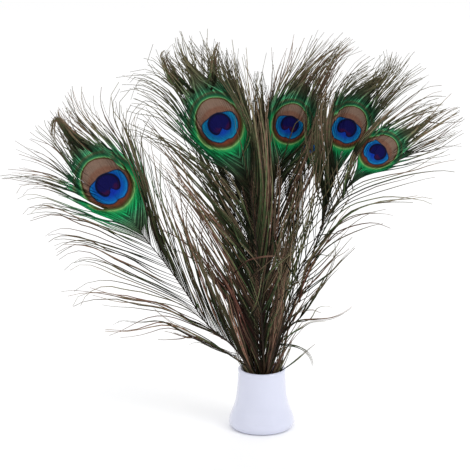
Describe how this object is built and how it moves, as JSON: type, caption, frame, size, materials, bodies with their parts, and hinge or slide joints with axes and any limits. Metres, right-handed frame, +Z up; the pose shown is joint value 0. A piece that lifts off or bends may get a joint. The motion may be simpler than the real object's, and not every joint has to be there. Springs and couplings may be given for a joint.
{
  "type": "peacock feathers in a vase",
  "caption": "Bunch of peacock eye feathers, fanned out and leaning freely in a small flared white vase, for standing on a shelf or table.",
  "frame": {"origin": "middle of the vase's flat underside, on the surface that it stands on", "axes": "+Z up along the vase, +X across the fan to the right as it is looked at, -Y towards the viewer"},
  "size_m": [0.3498, 0.1366, 0.3234],
  "materials": {
    "glaze": "smooth glossy white glaze with a faint blue cast",
    "feather": "olive-brown barbs with a green, bronze and blue iridescent eye"
  },
  "bodies": {
    "root": {"vase": "glaze", "feather_low_left": "feather", "feather_upper_left": "feather", "feather_middle": "feather", "feather_upper_right": "feather", "feather_low_right": "feather", "feather_half_hidden": "feather", "feather_back_left": "feather", "feather_back_middle": "feather"}
  },
  "joints": []
}
